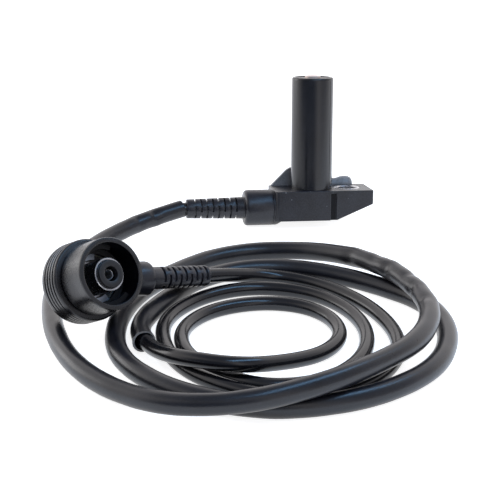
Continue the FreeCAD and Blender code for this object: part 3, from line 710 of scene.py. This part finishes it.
# %% Make the pole's end
pole_foot, pole_top = 58.0, TIP_Z + 0.6
pole_profile = [
    (0, pole_foot), (POLE_R, pole_foot), (POLE_R, pole_top - 0.2), (POLE_R - 0.2, pole_top),
    (0, pole_top),
]
pole = turned(pole_profile, 64)
pole_piece = set_down(pole, "pole_end", head)
dress(pole_piece, ground_steel)

# %% [markdown]
# ## The two boots
#
# Each end of the lead has a rubber boot: a round collar, and a tapered tail with slots round it so
# that it bends in a curve and doesn't kink. Three webs are left in each slot, and the next slot has
# its webs between them, which gives a row of small H shapes. The slots are part rings, spun from a
# small rectangle and cut out of the tail. Both boots are made by one function.

# %% A helper for slotted boots
WAY_R, SLOT_FLOOR, WEB_ANGLE, WEBS = 2.75, 3.2, 24.0, 3


def boot(collar, tail, slots):
    """A boot along +Z from its foot.

    The collar is (radius, length), the tail is (root radius, tip radius, length), and the slots are
    (first, pitch, width, count, angle of the first web)."""
    collar_r, foot = collar
    root_r, tip_r, length = tail
    first, pitch, width, count, web_at = slots
    top = foot + length
    profile = [
        (WAY_R, 0), (collar_r - 0.35, 0), (collar_r - 0.1, 0.1), (collar_r, 0.35), (collar_r, foot - 1.6),
        (collar_r - 0.12, foot - 0.95), (collar_r - 0.48, foot - 0.42), (collar_r - 1.0, foot - 0.1),
        (collar_r - 1.6, foot), (root_r + 0.35, foot), (root_r + 0.08, foot + 0.1), (root_r, foot + 0.4),
        (tip_r, top - 0.4), (tip_r - 0.12, top - 0.1), (tip_r - 0.4, top), (WAY_R, top),
    ]
    between_webs = 360 / WEBS
    cutters = []
    for row in range(count):
        low, high = foot + first + row * pitch, foot + first + row * pitch + width
        section = [(SLOT_FLOOR, low), (root_r + 2, low), (root_r + 2, high), (SLOT_FLOOR, high)]
        for web in range(WEBS):
            start = web_at + WEB_ANGLE / 2 + between_webs * (row / 2 + web)
            cutters.append(turned(section, 16, between_webs - WEB_ANGLE, start))
    body = carved(turned(profile, 96), cutters)
    return eased(body, 0.1, 40.0, 2)


print("each slot has", WEBS, "webs")

# %% Make the sensor's boot
sensor_boot = boot((COLLAR_R, 12.3), (4.75, 4.15, 25.1), (3.3, 2.53, 0.7, 8, 6.0))
boot_foot = Matrix.Translation((BOSS_LEFT, LEAD_Y, LEAD_Z))
sensor_boot.transform(boot_foot @ Matrix.Rotation(-math.pi / 2, 4, "Y"))
sensor_boot_piece = set_down(sensor_boot, "sensor_boot_rubber", head)
dress(sensor_boot_piece, boot_black)

# %% Make the plug's boot
plug_boot = boot((6.4, 7.3), (4.25, 3.95, 26.3), (4.6, 2.41, 1.0, 9, -17.0))
along_exit = Matrix.Translation((19.3, 0, ARM_Z)) @ Matrix.Rotation(math.pi / 2, 4, "Y")
plug_boot.transform(along_exit)
plug_boot_piece = set_down(plug_boot, "plug_boot_rubber", plug)
dress(plug_boot_piece, boot_black)

# %% [markdown]
# ## The coupling cap
#
# The cap is the only piece that moves. Its smooth skirt goes over the socket, a ribbed band is there
# to grip, and two ramps inside it pull the plug home as it turns. A neck parts the skirt from the
# band. The band has a gap that the side exit runs in. The faces inside the mouth and the ramps have a
# blacker finish with less sheen, painted shade for the little light that gets in. The ramps are
# helical, so they are spun with a small step along the axis at each turn.

# %% Draw the cap's section
CAP_R, CAP_BORE_R, GRIP_R = 12.95, 11.1, 14.9
RIBS, FIRST_RIB_Z, RIB_PITCH = 4, -15.9, 1.75


def cap_profile():
    """The cap's whole section, from the bore over the rim, the neck and the ribs to the back."""
    rim = [
        (CAP_BORE_R, -10.4), (CAP_BORE_R, -0.22), (CAP_BORE_R + 0.07, -0.06), (CAP_BORE_R + 0.22, 0.0),
        (CAP_R - 0.6, 0.0), (CAP_R - 0.22, -0.12), (CAP_R - 0.05, -0.4), (CAP_R, -0.9),
    ]
    neck = [
        (CAP_R, -12.2), (CAP_R - 0.2, -12.5), (12.0, -12.5), (12.0, -13.7), (14.1, -13.7), (14.5, -13.85),
        (14.8, -14.25), (GRIP_R, -14.7),
    ]
    ribs = []
    for row in range(RIBS):
        low = FIRST_RIB_Z - row * RIB_PITCH
        ribs += [
            (GRIP_R, low + 0.85), (GRIP_R - 0.12, low + 0.7), (GRIP_R - 0.5, low + 0.6),
            (GRIP_R - 0.5, low + 0.1), (GRIP_R - 0.12, low), (GRIP_R, low - 0.15),
        ]
    back = [
        (GRIP_R, -22.2), (GRIP_R - 0.12, -22.9), (GRIP_R - 0.45, -23.5), (GRIP_R - 0.95, -24.0),
        (GRIP_R - 1.5, -24.2), (12.8, -24.2), (12.8, -14.75), (11.0, -14.75), (11.0, -12.0), (8.8, -12.0),
        (8.8, -10.4),
    ]
    return rim + neck + ribs + back


print("the cap's section has", len(cap_profile()), "points")

# %% Turn the cap and cut its gap
exit_gap = turned([(12.6, -25), (18, -25), (18, -12.9), (12.6, -12.9)], 24, 84.0, -22.0)
ring_groove = turned([(12.4, -23.6), (13.25, -23.6), (13.25, -22.9), (12.4, -22.9)], 96)
cap_body = carved(turned(cap_profile(), 144), [exit_gap, ring_groove])
cap_body = eased(cap_body, 0.15, 50.0, 2)
# faces inside the mouth get the painted shade finish
for face in cap_body.faces:
    middle = face.calc_center_median()
    off_axis = math.hypot(middle.x, middle.y)
    face.material_index = int(-12.1 < middle.z < -0.3 and off_axis < CAP_BORE_R + 0.05)
cap_piece = set_down(cap_body, "coupling_cap_body", plug)
dress(cap_piece, cap_black, mouth_painted_shade)
print("cap is", round(2 * GRIP_R, 1), "mm across the grip")

# %% Make the ramps inside the cap
ramps = bmesh.new()
ramp_section = ((9.5, -6.6), (11.3, -6.6), (11.3, -4.8), (9.5, -5.1))
RAMP_SWEEP, RAMP_STEPS, RAMP_RISE = 70.0, 28, 0.035
for start in (-110.0, 70.0):
    corners = [ramps.verts.new((radius, 0, z)) for radius, z in ramp_section]
    section = ramps.faces.new(corners)
    turn_to = Matrix.Rotation(math.radians(start), 3, "Z")
    bmesh.ops.rotate(ramps, verts=corners, matrix=turn_to)
    bmesh.ops.spin(
        ramps, geom=[section], cent=(0, 0, 0), axis=(0, 0, 1), dvec=(0, 0, RAMP_RISE),
        angle=math.radians(RAMP_SWEEP), steps=RAMP_STEPS,
    )
in_order(ramps)
ramp_piece = set_down(ramps, "bayonet_ramps", plug)
# the ramps get the mouth's painted shade
dress(ramp_piece, mouth_painted_shade)

# %% [markdown]
# ## Inside the mouth
#
# A bright steel sleeve carries the screen's contact, and a black plug of insulation inside it holds
# the tinned socket for the signal pin. Behind them a steel ring with two tabs locks the cap, and it
# keeps its CAD shape. Each of the others is a spun profile with eased edges, because these are the
# only bright things in the plug.

# %% Make the screen's contact
contact_profile = [
    (5.0, -16.9), (6.6, -16.9), (6.6, -14.85), (5.95, -14.85), (5.95, -1.95), (5.88, -1.68), (5.7, -1.55),
    (5.25, -1.55), (5.05, -1.65), (5.0, -1.85),
]
contact_piece = set_down(turned(contact_profile, 96), "screen_contact", plug)
dress(contact_piece, bright_steel)

# %% Make the insulation
insulator_profile = [
    (1.95, -16.9), (5.0, -16.9), (5.0, -0.6), (4.9, -0.37), (4.65, -0.3), (2.95, -0.3), (2.7, -0.42),
    (2.6, -0.75), (2.6, -9.0), (1.95, -9.0),
]
insulator_piece = set_down(turned(insulator_profile, 72), "contact_holder", plug)
dress(insulator_piece, seal_black)

# %% Make the socket
socket_profile = [
    (1.5, -19.0), (1.95, -19.0), (1.95, -2.5), (1.88, -2.28), (1.75, -2.2), (1.62, -2.28), (1.5, -2.55),
]
socket_piece = set_down(turned(socket_profile, 48), "signal_socket", plug)
dress(socket_piece, tin_plate)

# %% [markdown]
# ## The plug's body
#
# What the cap turns on is one moulding: a disc that fills the back of the cap, and an arm that leads
# the wires out sideways into the boot. The arm thickens into a collar just outside the cap.

# %% Make the carrier's disc and arm
disc_profile = [
    (0, -22.8), (12.3, -22.8), (12.6, -22.65), (12.72, -22.4), (12.72, -15.0), (12.5, -14.8), (0, -14.8),
]
disc = turned(disc_profile, 96)
arm = rod(4.4, (9.0, 0, ARM_Z), 14.7, "X", 48)
collar_profile = [
    (0, 0), (5.9, 0), (6.25, 0.12), (6.4, 0.5), (6.4, 2.6), (6.25, 2.98), (5.9, 3.1), (0, 3.1),
]
collar = turned(collar_profile, 72)
collar.transform(Matrix.Translation((16.2, 0, ARM_Z)) @ Matrix.Rotation(math.pi / 2, 4, "Y"))
arm_clear = turned([(0, -14.77), (12.8, -14.77), (12.8, -10), (0, -10)], 64)
arm = carved(arm, [arm_clear])
carrier = carved(disc, [arm, collar], "UNION")
print("the arm runs at", ARM_Z, "mm")

# %% Clear the carrier's inside
core_duct = rod(2.1, (6.0, 0, ARM_Z), 8, "X", 32)
lead_way = rod(WAY_R, (PLUG_JACKET_END_X, 0, ARM_Z), 24, "X", 48)
core = turned([(0, -24), (8.0, -24), (8.0, -16.9), (6.6, -16.9), (6.6, -13), (0, -13)], 64)
carrier = carved(carrier, [core, core_duct, lead_way])
carrier_piece = set_down(carrier, "plug_carrier", plug)
dress(carrier_piece, cap_black)

# %% Make the rear cover
cover = turned([(0, -22.8), (7.6, -22.8), (7.9, -22.6), (7.95, -21.45), (0, -21.45)], 72)
cover_piece = set_down(cover, "plug_rear_cover", plug)
dress(cover_piece, cap_black)

# %% [markdown]
# ## What stands for what
#
# Each new piece rides on the body that it belongs to and stands in for the CAD nodes that it shows in
# more detail. The pieces that stay hidden inside keep their CAD shape and only get a finish.

# %% Ride and replace
ROOT, CAP = "sensor_and_lead", "cap"
for piece, body, finish_slot, nodes in (
    (lead, ROOT, "lead_jacket", ("signal_lead",)),
    (sleeve, ROOT, "sleeve_rubber", ("lead_sleeve",)),
    (block_piece, ROOT, "moulding", ("sensor_block",)),
    (barrel_piece, ROOT, "moulding", ("barrel_shell",)),
    (parting_piece, ROOT, "moulding", ("barrel_shell",)),
    (tip_ring_piece, ROOT, "moulding", ("barrel_shell",)),
    (fin_piece, ROOT, "moulding", ("rear_fin",)),
    (peg_piece, ROOT, "moulding", ("rear_peg",)),
    (bush_piece, ROOT, "steel", ("mounting_bush",)),
    (pole_piece, ROOT, "steel", ("pole_pin",)),
    (sensor_boot_piece, ROOT, "boot_rubber", ("sensor_boot",)),
    (plug_boot_piece, ROOT, "boot_rubber", ("plug_boot",)),
    (cap_piece, CAP, "cap_moulding", ("coupling_cap",)),
    (ramp_piece, CAP, "cap_moulding", ("coupling_cap",)),
    (contact_piece, ROOT, "steel", ("outer_contact",)),
    (insulator_piece, ROOT, "insulation", ("contact_insulator",)),
    (socket_piece, ROOT, "contact_brass", ("centre_socket",)),
    (carrier_piece, ROOT, "cap_moulding", ("contact_carrier",)),
    (cover_piece, ROOT, "cap_moulding", ("rear_cover",)),
):
    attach(piece, body)
    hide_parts(*nodes)
print("pieces are in place")

# %% Dress the CAD nodes that stay
node_finishes = {
    "magnet": magnet_grey,
    "coil_bobbin": spool_cream,
    "coil_winding": wire_copper,
    "head_ferrule": bright_steel,
    "signal_core": wire_copper,
    "return_core": wire_copper,
    "signal_terminal": contact_brass,
    "return_terminal": contact_brass,
    "potting_fill": resin_dark,
    "lock_ring": spring_steel,
    "retaining_ring": bright_steel,
    "thrust_washer": spool_cream,
    "face_seal": seal_black,
    "plug_ferrule": bright_steel,
    "plug_signal_core": wire_copper,
    "plug_screen_tail": wire_copper,
}
for name, finish in node_finishes.items():
    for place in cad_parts[name].material_slots:
        place.material = finish
print(len(node_finishes), "CAD nodes keep their shape")

# %% [markdown]
# ## The cords
#
# The lead has both boots and the whole plug on it, and the plug's pieces are gathered in a list. The
# sleeve is a cord of its own over the lead's first part, and its far end is open. Both lengths are
# measured on the line.

# %% Measure the lead
lead_stations = stations(soft_line("lead_line", lead_points))
bpy.data.objects.remove(bpy.data.objects["lead_line"])
lead_length = sum((b - a).length for a, b in zip(lead_stations, lead_stations[1:]))
print("lead length", round(lead_length, 4))

inside_plug = (
    "lock_ring", "retaining_ring", "thrust_washer", "face_seal", "plug_ferrule", "plug_signal_core",
    "plug_screen_tail",
)
plug_pieces = [cap_piece, ramp_piece, contact_piece, insulator_piece, socket_piece]
plug_pieces += [carrier_piece, cover_piece]
plug_pieces += [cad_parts[name] for name in inside_plug]
print(len(plug_pieces), "pieces sit on the lead's far end")

# %% [markdown]
# ## The table and the light
#
# The part lies on a plain white table that runs on past the edge of the view and lights the
# undersides. Black pieces show little but what they reflect, so the room is bright all round and
# darker in front, on the right and overhead. A bluish lamp above draws the blue streaks along
# the lead, and a soft one stands behind on the left. The table adds a little white of its own for the
# camera and for reflections, so that it looks bright without more light on the part.

# %% Make the table
TABLE_HALF, TABLE_DROP = 4.0, 0.2 * MM
table = bmesh.new()
bmesh.ops.create_grid(table, x_segments=2, y_segments=2, size=TABLE_HALF)
bmesh.ops.translate(table, verts=table.verts, vec=(0, 0, -TABLE_DROP))
table_top = set_down(table, "table_top")


# %% A helper that runs sockets through one operation
def joined(nodes, links, operation, sources):
    """The largest or the product of several values, taken two at a time."""
    so_far = sources[0]
    for source in sources[1:]:
        step = nodes.new("ShaderNodeMath")
        step.operation = operation
        links.new(so_far, step.inputs[0])
        if isinstance(source, float):
            step.inputs[1].default_value = source
        else:
            links.new(source, step.inputs[1])
        so_far = step.outputs["Value"]
    return so_far


# %% Whiten the table
TABLE_LIFT = 0.85
table_white = bpy.data.materials.new("table_white")
table_white.use_nodes = True
nodes, links = table_white.node_tree.nodes, table_white.node_tree.links
nodes.clear()
matt = nodes.new("ShaderNodeBsdfDiffuse")
matt.inputs["Color"].default_value = (0.86, 0.86, 0.86, 1)
glow = nodes.new("ShaderNodeEmission")
glow.inputs["Color"].default_value = (1, 1, 1, 1)
rays = nodes.new("ShaderNodeLightPath")
seeing = [rays.outputs[name] for name in ("Is Camera Ray", "Is Glossy Ray", "Is Transmission Ray")]
seen = joined(nodes, links, "MAXIMUM", seeing)
links.new(joined(nodes, links, "MULTIPLY", [seen, TABLE_LIFT]), glow.inputs["Strength"])
both = nodes.new("ShaderNodeAddShader")
links.new(matt.outputs["BSDF"], both.inputs[0])
links.new(glow.outputs["Emission"], both.inputs[1])
end = nodes.new("ShaderNodeOutputMaterial")
links.new(both.outputs["Shader"], end.inputs["Surface"])
dress(table_top, table_white)
print("table added")

# %% Shade the sides of the room
room = bpy.data.worlds.new("room")
bpy.context.scene.world = room
room.use_nodes = True
nodes, links = room.node_tree.nodes, room.node_tree.links
way = nodes.new("ShaderNodeTexCoord")


def shaded_side(way_to, edge, full, deepest):
    """One on the open sides of the room, and down to deepest towards one direction.

    The shade starts edge degrees from that direction and is full at full degrees."""
    facing = nodes.new("ShaderNodeVectorMath")
    facing.operation = "DOT_PRODUCT"
    facing.inputs[1].default_value = Vector(way_to).normalized()
    links.new(way.outputs["Generated"], facing.inputs[0])
    shade = nodes.new("ShaderNodeMapRange")
    shade.interpolation_type = "SMOOTHSTEP"
    shade.inputs["From Min"].default_value = math.cos(math.radians(edge))
    shade.inputs["From Max"].default_value = math.cos(math.radians(full))
    shade.inputs["To Min"].default_value = 1.0
    shade.inputs["To Max"].default_value = deepest
    links.new(facing.outputs["Value"], shade.inputs["Value"])
    return shade


front = shaded_side((-0.58, -0.81, -0.05), 64, 28, 0.10)
right = shaded_side((0.76, -0.41, 0.50), 46, 14, 0.38)
overhead = shaded_side((0.0, 0.0, 1.0), 56, 22, 0.22)
shades = [side.outputs["Result"] for side in (front, right, overhead)]
print(len(shades), "sides are shaded")

# %% Tint the room
tint = nodes.new("ShaderNodeValToRGB")
tint.color_ramp.elements[0].color = (0.06, 0.09, 0.15, 1)
tint.color_ramp.elements[1].color = (1.0, 0.97, 0.98, 1)
links.new(joined(nodes, links, "MULTIPLY", shades), tint.inputs["Fac"])
dim = nodes["Background"]
dim.inputs["Strength"].default_value = 1.3
links.new(tint.outputs["Color"], dim.inputs["Color"])
white = nodes.new("ShaderNodeBackground")
white.inputs["Color"].default_value = (1, 1, 1, 1)
white.inputs["Strength"].default_value = 1.0
rays = nodes.new("ShaderNodeLightPath")
choose = nodes.new("ShaderNodeMixShader")
links.new(rays.outputs["Is Camera Ray"], choose.inputs["Fac"])
links.new(dim.outputs["Background"], choose.inputs[1])
links.new(white.outputs["Background"], choose.inputs[2])
links.new(choose.outputs["Shader"], nodes["World Output"].inputs["Surface"])
bpy.context.scene.view_settings.view_transform = "Standard"
print("the room is bright behind and darker in front, on the right and overhead")


# %% Hang the lamps
def soft_lamp(name, at, towards, size, power, colour=(1, 1, 1)):
    """A rectangular lamp that looks from one point at another."""
    lamp = bpy.data.lights.new(name, "AREA")
    lamp.shape = "RECTANGLE"
    lamp.size, lamp.size_y = size
    lamp.energy = power
    lamp.color = colour
    fitting = bpy.data.objects.new(name, lamp)
    studio.objects.link(fitting)
    fitting.location = at
    fitting.rotation_euler = (Vector(towards) - Vector(at)).to_track_quat("-Z", "Y").to_euler()


PALE_BLUE = (0.30, 0.60, 1.0)
soft_lamp("lamp_above", (0.09, -0.19, 0.34), (0.07, -0.17, 0.0), (0.42, 0.075), 0.66, PALE_BLUE)
soft_lamp("lamp_left", (-0.85, 0.48, 0.22), (-0.04, -0.10, 0.02), (0.5, 0.4), 1.2)
print("two lamps")
